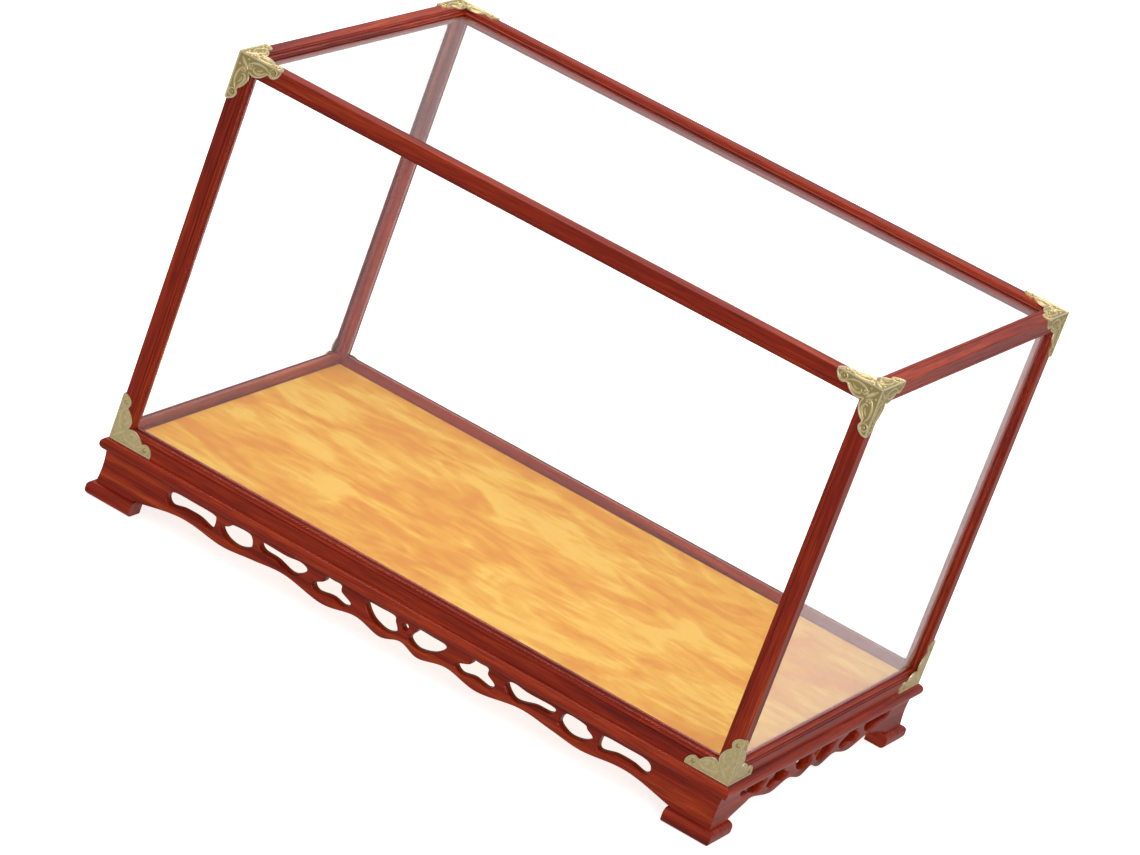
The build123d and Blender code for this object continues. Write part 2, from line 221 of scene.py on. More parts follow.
def stamped_brass():
    material, tree = blank_material("stamped_antique_brass")
    height = add(tree, "ShaderNodeAttribute", attribute_name="relief", attribute_type="GEOMETRY")
    colour = add(tree, "ShaderNodeValToRGB", {"Fac": height.outputs["Fac"]})
    set_ramp(colour, [(0.0, "#c2ab6c"), (0.35, "#eed79c"), (0.8, "#fae5b0"), (1.0, "#fff2c8")])
    place = add(tree, "ShaderNodeTexCoord")
    clouds = add(tree, "ShaderNodeTexNoise", {
        "Vector": place.outputs["Object"], "Scale": 1 / PATINA, "Detail": 4.0, "Roughness": 0.7,
    })
    stain = add(tree, "ShaderNodeMapRange", {
        "Value": clouds.outputs["Fac"], "From Min": 0.42, "From Max": 0.62, "To Min": 0.0, "To Max": 0.35,
    })
    tarnished = add(tree, "ShaderNodeMix", {
        0: stain.outputs["Result"], 6: colour.outputs["Color"], 7: linear("#b8a66c"),
    }, data_type="RGBA")
    grit = add(tree, "ShaderNodeTexNoise", {
        "Vector": place.outputs["Object"], "Scale": 1 / GRIT, "Detail": 2.0,
    })
    bump = add(tree, "ShaderNodeBump", {
        "Height": grit.outputs["Fac"], "Strength": 0.4, "Distance": 0.1 * MM,
    })
    shader = add(tree, "ShaderNodeBsdfPrincipled", {
        "Base Color": tarnished.outputs[2], "Normal": bump.outputs["Normal"],
        "Metallic": 0.7, "Roughness": 0.34,
    })
    return finish_material(material, tree, shader)


def plain_metal(name, bright, dull, roughness, grain):
    """A metal with a faint change of tone over its surface."""
    material, tree = blank_material(name)
    place = add(tree, "ShaderNodeTexCoord")
    noise = add(tree, "ShaderNodeTexNoise", {"Vector": place.outputs["Object"], "Scale": 1 / grain})
    colour = add(tree, "ShaderNodeValToRGB", {"Fac": noise.outputs["Fac"]})
    set_ramp(colour, [(0.35, dull), (0.65, bright)])
    shader = add(tree, "ShaderNodeBsdfPrincipled", {
        "Base Color": colour.outputs["Color"], "Metallic": 1.0, "Roughness": roughness,
    })
    return finish_material(material, tree, shader)


float_glass = clear_glass()
brass_sheet = stamped_brass()
polished_brass = plain_metal("polished_brass_pins", "#efdca0", "#c9b574", 0.22, 1.5 * MM)
zinc_steel = plain_metal("zinc_plated_steel", "#c9ccd0", "#a4a8ae", 0.35, 2.0 * MM)

# %% [markdown]
# ## Velvet
# The floor is a short golden velvet. A hand that strokes it leaves the nap lying in wide soft
# swirls, lighter and darker, some 30 to 90 mm across, with the marks of single strokes in them.
# Two sizes of twisted noise draw the swirls, one that is drawn out draws the strokes, and a much
# finer one, drawn at 0.8 mm, is the pile itself. Sheen gives the pale edge.

# %% Velvet
SWIRL = 75 * MM
BRUSH = 20 * MM
STROKE = 34 * MM
PILE = 0.8 * MM


def brushed_velvet():
    material, tree = blank_material("brushed_velvet")
    place = add(tree, "ShaderNodeTexCoord").outputs["Object"]
    flow = add(tree, "ShaderNodeMapping", {"Vector": place, "Scale": (1.0, 1.8, 1.0)})
    swirl = add(tree, "ShaderNodeTexNoise", {
        "Vector": flow.outputs[0], "Scale": 1 / SWIRL, "Detail": 6.0, "Distortion": 1.1,
        "Roughness": 0.55,
    })
    brush = add(tree, "ShaderNodeTexNoise", {
        "Vector": flow.outputs[0], "Scale": 1 / BRUSH, "Detail": 7.0, "Distortion": 0.8,
        "Roughness": 0.62,
    })
    pile = add(tree, "ShaderNodeTexNoise", {"Vector": place, "Scale": 1 / PILE, "Detail": 2.0})
    drawn_out = add(tree, "ShaderNodeMapping", {"Vector": place, "Scale": (1.0, 5.0, 1.0)})
    stroke_marks = add(tree, "ShaderNodeTexNoise", {
        "Vector": drawn_out.outputs[0], "Scale": 1 / STROKE, "Detail": 5.0, "Distortion": 1.6,
    })
    wide = add(tree, "ShaderNodeMath", {0: brush.outputs["Fac"], 1: 0.35, 2: swirl.outputs["Fac"]},
               operation="MULTIPLY_ADD")
    sum_of = add(tree, "ShaderNodeMath", {0: stroke_marks.outputs["Fac"], 1: 0.4, 2: wide.outputs[0]},
                 operation="MULTIPLY_ADD")
    colour = add(tree, "ShaderNodeValToRGB", {"Fac": sum_of.outputs[0]})
    set_ramp(colour, [(0.74, "#e89024"), (0.84, "#ee9f2c"), (0.93, "#f3ae39"), (1.0, "#f9bf4e")])
    bump = add(tree, "ShaderNodeBump", {
        "Height": pile.outputs["Fac"], "Strength": 0.3, "Distance": 0.25 * MM,
    })
    shader = add(tree, "ShaderNodeBsdfPrincipled", {
        "Base Color": colour.outputs["Color"], "Normal": bump.outputs["Normal"],
        "Roughness": 0.95, "Specular IOR Level": 0.15,
        "Sheen Weight": 0.08, "Sheen Roughness": 0.45, "Sheen Tint": linear("#ffc878"),
    })
    return finish_material(material, tree, shader)


velvet = brushed_velvet()

# %% [markdown]
# ## Finishes for the pieces that keep their CAD shape
# Each wooden member is given the wood whose grain runs along it.

# %% Dress the CAD nodes
ENDS = {"front": -1, "back": 1}
SIDES = {"left": -1, "right": 1}


def dress(name, material):
    node = nodes[name]
    node.data.materials.clear()
    node.data.materials.append(material)


for end in ENDS:
    for stem in ("top_rail", "bottom_rail", "base_rail"):
        dress(f"{stem}_{end}", rosewood[0])
    dress(f"pane_{end}", float_glass)
    for side in SIDES:
        dress(f"post_{end}_{side}", rosewood[2])
        dress(f"foot_pad_{end}_{side}", rosewood[0])
        dress(f"corner_block_{end}_{side}", planed_pine)
for side in SIDES:
    for stem in ("top_rail", "bottom_rail", "base_rail"):
        dress(f"{stem}_{side}", rosewood[1])
    dress(f"pane_{side}", float_glass)
    dress(f"batten_{side}", planed_pine)
dress("pane_top", float_glass)
dress("floor_board", birch_plywood)
dress("floor_screws", zinc_steel)
print("dressed", len(nodes), "nodes")

# %% [markdown]
# ## How a carved or stamped plate is made
# An apron and a face of a brass corner are the same kind of thing: a flat outline, perhaps with
# holes, whose face rises and falls. Extruding a curve would round the edges but leave the middle
# as a few long triangles that can't bend. So the outline is filled with small triangles, with
# rows of points that follow each edge, and each point is then pushed in by a rule of its
# distance from the edge. The rows keep the rounded edges smooth.

# %% Curves and distances
def through(points, step, closed):
    """Points about step apart on a smooth (Catmull-Rom) curve through the given ones."""
    given = np.asarray(points, float)
    count = len(given)
    if closed:
        ring = given[np.arange(-1, count + 2) % count]
    else:
        first = 2 * given[0] - given[1]
        last = 2 * given[-1] - given[-2]
        ring = np.vstack([first, given, last])
    pieces = []
    for i in range(len(ring) - 3):
        a, b, c, d = ring[i:i + 4]
        t = np.arange(0, 1, 1 / max(2, round(np.linalg.norm(c - b) / step)))[:, None]
        pieces.append(0.5 * (2 * b + (c - a) * t + (2 * a - 5 * b + 4 * c - d) * t**2
                             + (3 * b - a - 3 * c + d) * t**3))
    curve = np.vstack(pieces)
    return curve if closed else np.vstack([curve, given[-1]])


def straight(a, b, step):
    """Points from a to b, about step apart, without b."""
    count = max(1, round(math.dist(a, b) / step))
    t = np.arange(count)[:, None] / count
    return np.asarray(a) * (1 - t) + np.asarray(b) * t


def distance_to(points, lines, block=1500):
    """The distance from each point to the nearest of the lines, each a row of points."""
    starts = np.vstack([line[:-1] for line in lines])
    runs = np.vstack([line[1:] for line in lines]) - starts
    length2 = np.maximum((runs**2).sum(1), 1e-12)
    nearest = np.empty(len(points))
    for i in range(0, len(points), block):
        away = points[i:i + block, None, :] - starts[None]
        t = np.clip((away * runs).sum(2) / length2, 0, 1)
        gap = away - t[..., None] * runs
        nearest[i:i + block] = np.sqrt((gap**2).sum(2).min(1))
    return nearest


def is_inside(points, loops):
    """True where a point is in the outline and in none of the holes."""
    inside = np.zeros(len(points), bool)
    x, y = points[:, 0], points[:, 1]
    for loop in loops:
        for (x0, y0), (x1, y1) in zip(loop, np.roll(loop, -1, axis=0)):
            if y0 != y1:
                crosses = (y0 > y) != (y1 > y)
                inside ^= crosses & (x < (x1 - x0) * (y - y0) / (y1 - y0) + x0)
    return inside


def close(loop):
    return np.vstack([loop, loop[:1]])


# %% Fill an outline with triangles
def fill(loops, rows, spacing):
    """Triangles that fill the loops, the first of which is the outline. Points follow the edges
    in rows at the given distances, and a triangular grid fills the rest.
    Returns the points, the triangles and the number of points that lie on the loops."""
    edges = [close(loop) for loop in loops]
    extra = []
    for row in rows:
        for loop in loops:
            along = np.roll(loop, -1, axis=0) - np.roll(loop, 1, axis=0)
            along /= np.maximum(np.linalg.norm(along, axis=1), 1e-9)[:, None]
            across = np.stack([-along[:, 1], along[:, 0]], 1) * row
            extra += [loop + across, loop - across]
    if extra:
        near = np.vstack(extra)
        aimed = np.repeat(rows, [2 * sum(len(loop) for loop in loops)] * len(rows))
        true_gap = distance_to(near, edges)
        near = near[is_inside(near, loops) & (true_gap > 0.97 * aimed)]
    low, high = loops[0].min(0), loops[0].max(0)
    rise = spacing * math.sqrt(3) / 2
    columns = np.arange(low[0] - spacing, high[0] + spacing, spacing)
    levels = np.arange(low[1], high[1] + rise, rise)
    grid = np.array([(x + spacing / 2 * (j % 2), y) for j, y in enumerate(levels) for x in columns])
    grid = grid[is_inside(grid, loops)]
    margin = (rows[-1] if rows else 0) + spacing * 0.6
    grid = grid[distance_to(grid, edges) > margin]
    on_loops = np.vstack(loops)
    points = np.vstack([on_loops] + ([near] if extra else []) + [grid])
    sides = []
    start = 0
    for loop in loops:
        count = len(loop)
        sides += [(start + i, start + (i + 1) % count) for i in range(count)]
        start += count
    net = delaunay_2d_cdt([Vector(p) for p in points], sides, [], 0, 1e-7)
    found = np.array([tuple(v) for v in net[0]])
    triangles = np.array(net[2])
    kept = triangles[is_inside(found[triangles].mean(1), loops)]
    return found, kept, len(on_loops)


# %% Give a filled outline its two faces and its walls
def two_sided(count, triangles, skip_wall=None):
    """Faces of a plate: front points come first, then the same number of back points.
    skip_wall says which of the open edges get no wall, because another plate meets them."""
    faces = [tuple(t) for t in triangles] + [tuple(t[::-1] + count) for t in triangles]
    seen = {}
    for t in triangles:
        for a, b in ((t[0], t[1]), (t[1], t[2]), (t[2], t[0])):
            seen[(a, b)] = True
    for a, b in seen:
        if (b, a) not in seen and not (skip_wall and skip_wall(a, b)):
            faces.append((b, a, a + count, b + count))
    return faces


def piece_from(name, points, faces, material, weld=1e-6, sharp=math.radians(40), relief=None):
    """A mesh object from points in metres, welded, with its faces turned outwards."""
    mesh = bpy.data.meshes.new(name)
    mesh.from_pydata([tuple(p) for p in points], [], [tuple(int(i) for i in f) for f in faces])
    if relief is not None:
        layer = mesh.attributes.new("relief", "FLOAT", "POINT")
        layer.data.foreach_set("value", np.asarray(relief, dtype=np.float32))
    work = bmesh.new()
    work.from_mesh(mesh)
    bmesh.ops.remove_doubles(work, verts=work.verts, dist=weld)
    loose = [v for v in work.verts if not v.link_faces]
    bmesh.ops.delete(work, geom=loose, context="VERTS")
    bmesh.ops.recalc_face_normals(work, faces=work.faces)
    open_edges = sum(1 for e in work.edges if not e.is_manifold)
    work.to_mesh(mesh)
    work.free()
    mesh.shade_smooth()
    mesh.set_sharp_from_angle(angle=sharp)
    mesh.materials.append(material)
    piece = bpy.data.objects.new(name, mesh)
    bpy.context.scene.collection.objects.link(piece)
    print(name, "triangles", sum(len(p.vertices) - 2 for p in mesh.polygons), "open edges", open_edges)
    return piece


# %% [markdown]
# ## Carved aprons
# The four aprons are fretsawn boards whose edges were rounded over with a knife until the bars
# between the holes read as cords. Their faces are slightly hollow, and the round-edged pads under
# the feet stand out past them. The pattern is drawn once for a half, in millimetres: u from the
# middle outwards and v down from the rim. It is stretched to the real span and height as the CAD
# model does.

# %% The fretwork pattern
SLOT_NEAR = [(79.5, 6), (85, 2.6), (97, 3.9), (115, 3.6), (118, 5.6), (114, 9.6), (103, 10.4), (88.5, 13.8)]
CLOUD = [
    (52.5, 2.4), (58.5, 2.2), (64.5, 2.4), (65.6, 7), (72.3, 11.8),
    (68, 16.2), (57, 14.6), (47, 16.2), (42.3, 11.8), (51.2, 7),
]
QUARTER = [(9.8, 2.6), (20.5, 2.6), (31, 3.1), (30.6, 7), (23.7, 13.7), (12.5, 16.8), (5, 12.5), (8, 6)]
LEAF = [
    (124.5, 4.8), (129, 2.6), (140.5, 3.5), (143, 6),
    (148.2, 9.8), (142, 15.4), (132, 16.8), (123.3, 11.8),
]
SLOT_FAR = [
    (153.7, 6), (157, 3.6), (172, 3.3), (188, 3.7), (192.8, 8.5),
    (189, 14), (179, 12.2), (167, 12.2), (155, 14.8),
]
EYE_RADIUS = 2.3
EYE_LEVEL = 6.0
FRONT_EDGE = [
    (187, 20.3), (170, 19.5), (143.5, 22.8), (119, 20.3), (94, 18),
    (62, 23.2), (36.5, 18.8), (15.3, 23.2), (0, 18.7),
]
SIDE_EDGE = [(104, 20.5), (92, 18), (62, 23.2), (36.5, 18.8), (15.3, 23.2), (0, 18.7)]

APRON_THICKNESS = 8.0
APRON_HOLLOW = 0.7
HOLLOW_LEVEL = 0.6               # of the height, where the face is furthest in
ROUND_OVER = 2.3                 # how far from an edge the rounding starts
ROUND_DEPTH = 2.0                # how deep it is at the edge
BACK_ROUND = 0.7
EDGE_STEP = 0.9
EDGE_ROWS = [0.3, 0.8, 1.5, 2.3]
FACE_SPACING = 2.0
MITRE_ZONE = 20.0                # the stretch at each end where the back is drawn in to the mitre

box = {name: [np.array(c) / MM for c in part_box(name)] for name in nodes}
apron_top = box["apron_front"][1][2]
apron_height = apron_top - box["apron_front"][0][2]
DRAWN_HEIGHT = 26.0              # how high the pattern is drawn
pattern_drop = apron_height / DRAWN_HEIGHT


def face_line(v):
    """How far the apron's face stands in from its top edge, at a depth v below it: an arc."""
    points = [(0, 0), (APRON_HOLLOW, HOLLOW_LEVEL * apron_height), (0, apron_height)]
    rows = [[2 * x, 2 * y, 1] for x, y in points]
    cx, cy, k = np.linalg.solve(rows, [x * x + y * y for x, y in points])
    radius = math.sqrt(k + cx * cx + cy * cy)
    side = math.copysign(1, APRON_HOLLOW - cx)
    return cx + side * np.sqrt(radius**2 - (v - cy)**2)


def rounded(distance, reach, depth):
    """How far a rounded edge falls back at a distance from it: a quarter of an ellipse."""
    t = np.clip(1 - distance / reach, 0, 1)
    return depth * (1 - np.sqrt(1 - t**2))


def apron_mesh(half, foot, pattern_half, holes, edge):
    """Points and faces of one apron, in millimetres: u along it, outward distance, v down."""
    stretch = foot / pattern_half
    half_edge = [(u * stretch, v * pattern_drop) for u, v in edge]
    line = [(foot, apron_height)] + half_edge
    line += [(-u, v) for u, v in half_edge[-2::-1]] + [(-foot, apron_height)]
    lower = through(line, EDGE_STEP, closed=False)
    levels = np.linspace(apron_height, 0, 14)
    right_end = np.stack([half - face_line(levels), levels], 1)
    left_end = right_end[::-1] * (-1, 1)
    outline = np.vstack([
        lower[:-1],
        straight(lower[-1], left_end[-1], FACE_SPACING),
        left_end[::-1][:-1],
        straight((-half, 0), (half, 0), FACE_SPACING),
        right_end[::-1][:-1],
        straight(right_end[0], lower[0], FACE_SPACING),
    ])
    angle = np.arange(0, 2 * math.pi, math.pi / 12)
    eye = np.stack([np.cos(angle), np.sin(angle)], 1) * EYE_RADIUS + (0, EYE_LEVEL * pattern_drop)
    cut = [eye]
    for hole in holes:
        for flip in (-1, 1):
            drawn = [(flip * u * stretch, v * pattern_drop) for u, v in hole]
            cut.append(through(drawn, EDGE_STEP, closed=True))
    points, triangles, _ = fill([outline] + cut, EDGE_ROWS, FACE_SPACING)
    gap = distance_to(points, [lower] + [close(loop) for loop in cut])
    u, v = points[:, 0], points[:, 1]
    front = -face_line(v) - rounded(gap, ROUND_OVER, ROUND_DEPTH)
    back = -APRON_THICKNESS + rounded(gap, BACK_ROUND, BACK_ROUND)
    start = half - MITRE_ZONE
    end = half - face_line(v)
    drawn_in = start + (np.abs(u) - start) * (MITRE_ZONE - APRON_THICKNESS) / (end - start)
    back_u = np.where(np.abs(u) > start, np.sign(u) * drawn_in, u)
    faces = two_sided(len(points), triangles)
    fronts = np.stack([u, front, v], 1)
    backs = np.stack([back_u, back, v], 1)
    return np.vstack([fronts, backs]), faces


# %% Make the four aprons
apron_half = {"long": box["apron_front"][1][0], "short": box["apron_right"][1][1]}
PAD_REACH = {"long": 33.0, "short": 28.0}      # how far a pad runs along each apron
long_apron = apron_mesh(
    apron_half["long"], apron_half["long"] - PAD_REACH["long"], 213.0,
    [QUARTER, CLOUD, SLOT_NEAR, LEAF, SLOT_FAR], FRONT_EDGE,
)
short_apron = apron_mesh(
    apron_half["short"], apron_half["short"] - PAD_REACH["short"], 123.6,
    [QUARTER, CLOUD, SLOT_NEAR], SIDE_EDGE,
)


def set_apron(name, shape, direction, sign, offset, material):
    """Places an apron: direction 0 runs along X and 1 along Y; sign says which way it faces."""
    points, faces = shape
    placed = np.empty_like(points)
    placed[:, direction] = points[:, 0]
    placed[:, 1 - direction] = sign * (offset + points[:, 1])
    placed[:, 2] = apron_top - points[:, 2]
    piece = piece_from(f"carved_{name}", placed * MM, faces, material)
    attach(piece, "base")
    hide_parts(name)


for end, sign in ENDS.items():
    set_apron(f"apron_{end}", long_apron, 0, sign, apron_half["short"], rosewood[0])
for side, sign in SIDES.items():
    set_apron(f"apron_{side}", short_apron, 1, sign, apron_half["long"], rosewood[1])

# %% [markdown]
# ## Stamped brass corners
# A box corner is cut from 1 mm sheet, stamped in a die and folded. The top ones have three faces
# and a deep stamping: a raised rim, a scroll along each leg, leaves at the shoulders and a leaf
# on the diagonal. The bottom ones have two faces, with the same scroll struck faintly and a fine rim.
# A face is drawn once, with p and q running from the folded corner along its two legs.

# %% Outline of one brass face
LEG = 34.0
SHEET = 1.0
PIN_REACH = 28.5
PIN_INSET = 2.9 + SHEET          # from the fold
SCALLOPS = [
    (LEG, 0.0), (33.7, 3.3), (31.4, 6.6), (28.4, 7.9), (25.2, 6.9), (23.6, 8.4),
    (21.2, 10.6), (17.6, 12.4), (14.4, 12.6), (11.7, 11.7),
]


def brass_outline(step):
    near_leg = through(SCALLOPS, step, closed=False)
    far_leg = near_leg[::-1, ::-1]
    return np.vstack([
        straight((0, 0), (LEG, 0), step),
        near_leg[:-1],
        far_leg[:-1],
        straight((0, LEG), (0, 0), step),
    ]), [near_leg, far_leg]


# %% [markdown]
# The stamping is a height from 0, the lowest, to 1, level with the sheet. Each motif is a stroke
# or a dome with its own width, and the highest one at a point wins, as in a die.

# %% The stamped relief
def step_down(distance, flat, reach):
    """1 up to flat, then a smooth fall to 0 over reach."""
    t = np.clip((distance - flat) / reach, 0, 1)
    return 1 - t * t * (3 - 2 * t)


def stroke(points, line, width):
    """A round-topped stroke along a smooth line, thin at its ends."""
    curve = through(line, 0.5, closed=False)
    t = np.linspace(0, 1, len(curve))
    half = width / 2 * (0.35 + 0.65 * np.sin(math.pi * t))
    gap = np.linalg.norm(points[:, None] - curve[None], axis=2) / half[None]
    return np.sqrt(np.clip(1 - gap.min(1)**2, 0, 1))


def dome(points, centre, radii, angle=0.0):
    turned = points - centre
    c, s = math.cos(angle), math.sin(angle)
    x = (turned[:, 0] * c + turned[:, 1] * s) / radii[0]
    y = (turned[:, 1] * c - turned[:, 0] * s) / radii[1]
    return np.sqrt(np.clip(1 - x * x - y * y, 0, 1))


SCROLL = [(25.6, 5.3), (21.5, 3.2), (16.0, 3.0), (11.5, 4.6), (9.2, 7.4)]
SHOULDER = [(23.2, 6.4), (20.2, 8.8), (16.8, 9.8), (14.0, 8.6), (14.4, 6.6)]
VEIN = [(20.8, 5.6), (18.2, 7.4), (16.4, 7.4)]
SPINE = [(3.4, 3.4), (6.4, 6.4), (9.6, 9.6)]
DOTS = [(8.4, 3.0), (12.1, 8.2), (12.0, 6.2)]


def both_ways(line):
    return [line, [(q, p) for p, q in line]]


def deep_relief(points, edge_gap, fold_gap):
    heights = [step_down(edge_gap, 0.55, 0.7), step_down(fold_gap, 0.7, 0.7)]
    for motif, width, level in ((SCROLL, 1.7, 1.0), (SHOULDER, 1.9, 0.9), (VEIN, 1.3, 0.75)):
        heights += [level * stroke(points, line, width) for line in both_ways(motif)]
    heights.append(stroke(points, SPINE, 2.4))
    for dot in DOTS:
        heights += [0.95 * dome(points, np.array(c[0]), (0.75, 0.75)) for c in both_ways([dot])]
    for centre in both_ways([(PIN_REACH, PIN_INSET)]):
        ring = np.abs(np.linalg.norm(points - centre[0], axis=1) - 2.5)
        heights.append(0.85 * step_down(ring, 0.15, 0.5))
    for side in (-1, 1):
        centre = np.array([8.6 + side * 1.6, 8.6 - side * 1.6])
        heights.append(0.8 * dome(points, centre, (2.6, 0.8), math.radians(45 + side * 18)))
    return np.max(heights, axis=0)


def shallow_relief(points, edge_gap, fold_gap):
    heights = [step_down(edge_gap, 0.35, 0.4), step_down(fold_gap, 0.4, 0.3), np.full(len(points), 0.35)]
    for motif, width in ((SCROLL, 1.9), (SHOULDER, 2.1), (VEIN, 1.5)):
        heights += [0.35 + 0.5 * stroke(points, line, width) for line in both_ways(motif)]
    heights.append(0.35 + 0.6 * stroke(points, SPINE, 2.8))
    for centre in both_ways([(PIN_REACH, PIN_INSET)]):
        away = np.linalg.norm(points - centre[0], axis=1)
        heights.append(step_down(np.abs(away - 2.2), 0.1, 0.35))
    return np.max(heights, axis=0)


# %% Fold the faces into a corner
RELIEF_DEPTH = {"top": 0.5, "bottom": 0.3}
BRASS_SPACING = {"top": 0.36, "bottom": 0.45}
FOLD_ZONE = 2.0                  # the back is drawn in to the mitre within this of a fold


def drawn_to_mitre(along):
    """Places on the inside of the sheet, which starts one thickness in from the fold."""
    return np.where(along < FOLD_ZONE, SHEET + along * (FOLD_ZONE - SHEET) / FOLD_ZONE, along)


def brass_face(kind):
    """One flat face: outer points, inner points, faces and heights. Folds are at p 0 and, on a
    top corner, at q 0."""
    outline, edges = brass_outline(BRASS_SPACING[kind])
    points, triangles, _ = fill([outline], [0.3, 0.7], BRASS_SPACING[kind])
    p, q = points[:, 0], points[:, 1]
    folded = kind == "top"
    free = edges if folded else edges + [np.array([(0.0, 0.0), (LEG, 0.0)])]
    fold_gap = np.minimum(p, q) if folded else p
    edge_gap = distance_to(points, free)
    height = (deep_relief if folded else shallow_relief)(points, edge_gap, fold_gap)
    sunk = (1 - height) * RELIEF_DEPTH[kind]
    inner_p = drawn_to_mitre(p)
    inner_q = drawn_to_mitre(q) if folded else q
    tiny = 1e-6

    def on_fold(a, b):
        both_p = p[a] < tiny and p[b] < tiny
        both_q = folded and q[a] < tiny and q[b] < tiny
        return both_p or both_q

    outer = np.stack([p, q, sunk], 1)
    inner = np.stack([inner_p, inner_q, np.full(len(p), SHEET)], 1)
    return np.vstack([outer, inner]), two_sided(len(points), triangles, on_fold), np.tile(height, 2)


def corner_shell(kind):
    """All faces of a corner in its own inward directions: across, back and up or down."""
    points, faces, height = brass_face(kind)
    p, q, depth = points.T
    front = np.stack([p, depth, q], 1)
    side = np.stack([depth, p, q], 1)
    flaps = [front, side] + ([np.stack([p, q, depth], 1)] if kind == "top" else [])
    all_faces = []
    for i in range(len(flaps)):
        all_faces += [tuple(int(n) + i * len(points) for n in face) for face in faces]
    return np.vstack(flaps), all_faces, np.tile(height, len(flaps))


shells = {kind: corner_shell(kind) for kind in ("top", "bottom")}
for kind in shells:
    points, faces, height = shells[kind]
    for end, fy in ENDS.items():
        for side, fx in SIDES.items():
            node = f"{kind}_corner_{end}_{side}"
            low, high = box[node]
            start = [high[0] if fx > 0 else low[0], high[1] if fy > 0 else low[1]]
            placed = np.empty_like(points)
            placed[:, 0] = start[0] - fx * points[:, 0]
            placed[:, 1] = start[1] - fy * points[:, 1]
            placed[:, 2] = high[2] - points[:, 2] if kind == "top" else low[2] + points[:, 2]
            piece = piece_from(f"stamped_{node}", placed * MM, faces, brass_sheet, relief=height)
            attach(piece, "cover")
            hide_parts(node)

# %% [markdown]
# ## Pins
# Forty small domed pins hold the corners. They are all alike, so Geometry Nodes make them: a
# mesh of bare points says where they go and which way each looks, and the tree puts one pin on
# each. The sizes are the tree's named inputs. The result is then turned into a plain mesh.

# %% Where the pins go
def pin_points():
    """Place and outward direction of every pin, in millimetres."""
    places = []
    for kind in ("top", "bottom"):
        for end, fy in ENDS.items():
            for side, fx in SIDES.items():
                low, high = box[f"{kind}_corner_{end}_{side}"]
                start = np.array([high[0] if fx > 0 else low[0], high[1] if fy > 0 else low[1],
                                  high[2] if kind == "top" else low[2]])
                inward = np.array([-fx, -fy, -1 if kind == "top" else 1])
                seats = [((PIN_INSET, 0, PIN_REACH), 1), ((PIN_REACH, 0, PIN_INSET), 1),
                         ((0, PIN_INSET, PIN_REACH), 0), ((0, PIN_REACH, PIN_INSET), 0)]
                if kind == "top":
                    seats += [((PIN_REACH, PIN_INSET, 0), 2), ((PIN_INSET, PIN_REACH, 0), 2)]
                for seat, axis in seats:
                    outward = np.zeros(3)
                    outward[axis] = -inward[axis]
                    places.append((start + inward * seat, outward))
    return places


pins_at = pin_points()
print("pins:", len(pins_at))


# %% The tree that makes the pins
def pin_tree():
    tree = bpy.data.node_groups.new("domed_pins", "GeometryNodeTree")
    tree.interface.new_socket("Geometry", in_out="INPUT", socket_type="NodeSocketGeometry")
    for name, size in (("Head Radius", 1.5), ("Head Height", 0.68), ("Shank Radius", 0.6),
                       ("Shank Length", 3.0)):
        socket = tree.interface.new_socket(name, in_out="INPUT", socket_type="NodeSocketFloat")
        socket.default_value = size * MM
    tree.interface.new_socket("Geometry", in_out="OUTPUT", socket_type="NodeSocketGeometry")
    given = add(tree, "NodeGroupInput").outputs
    ball = add(tree, "GeometryNodeMeshUVSphere", {"Segments": 20, "Rings": 10, "Radius": 1.0})
    flat = add(tree, "ShaderNodeCombineXYZ", {
        "X": given["Head Radius"], "Y": given["Head Radius"], "Z": given["Head Height"],
    })
    head = add(tree, "GeometryNodeTransform", {"Geometry": ball.outputs["Mesh"], "Scale": flat.outputs[0]})
    rod = add(tree, "GeometryNodeMeshCylinder", {
        "Vertices": 12, "Radius": given["Shank Radius"], "Depth": given["Shank Length"],
    })
    half_down = add(tree, "ShaderNodeMath", {0: given["Shank Length"], 1: -0.5}, operation="MULTIPLY")
    below = add(tree, "ShaderNodeCombineXYZ", {"Z": half_down.outputs[0]})
    shank = add(tree, "GeometryNodeTransform", {
        "Geometry": rod.outputs["Mesh"], "Translation": below.outputs[0],
    })
    whole = add(tree, "GeometryNodeJoinGeometry")
    tree.links.new(head.outputs[0], whole.inputs[0])
    tree.links.new(shank.outputs[0], whole.inputs[0])
    outward = add(tree, "GeometryNodeInputNamedAttribute", {"Name": "outward"}, data_type="FLOAT_VECTOR")
    facing = add(tree, "FunctionNodeAlignRotationToVector", {
        "Vector": outward.outputs["Attribute"],
    }, axis="Z")
    many = add(tree, "GeometryNodeInstanceOnPoints", {
        "Points": given["Geometry"], "Instance": whole.outputs[0], "Rotation": facing.outputs[0],
    })
    real = add(tree, "GeometryNodeRealizeInstances", {"Geometry": many.outputs[0]})
    smooth = add(tree, "GeometryNodeSetShadeSmooth", {"Geometry": real.outputs[0]})
    coloured = add(tree, "GeometryNodeSetMaterial", {
        "Geometry": smooth.outputs[0], "Material": polished_brass,
    })
    add(tree, "NodeGroupOutput", {"Geometry": coloured.outputs[0]})
    return tree


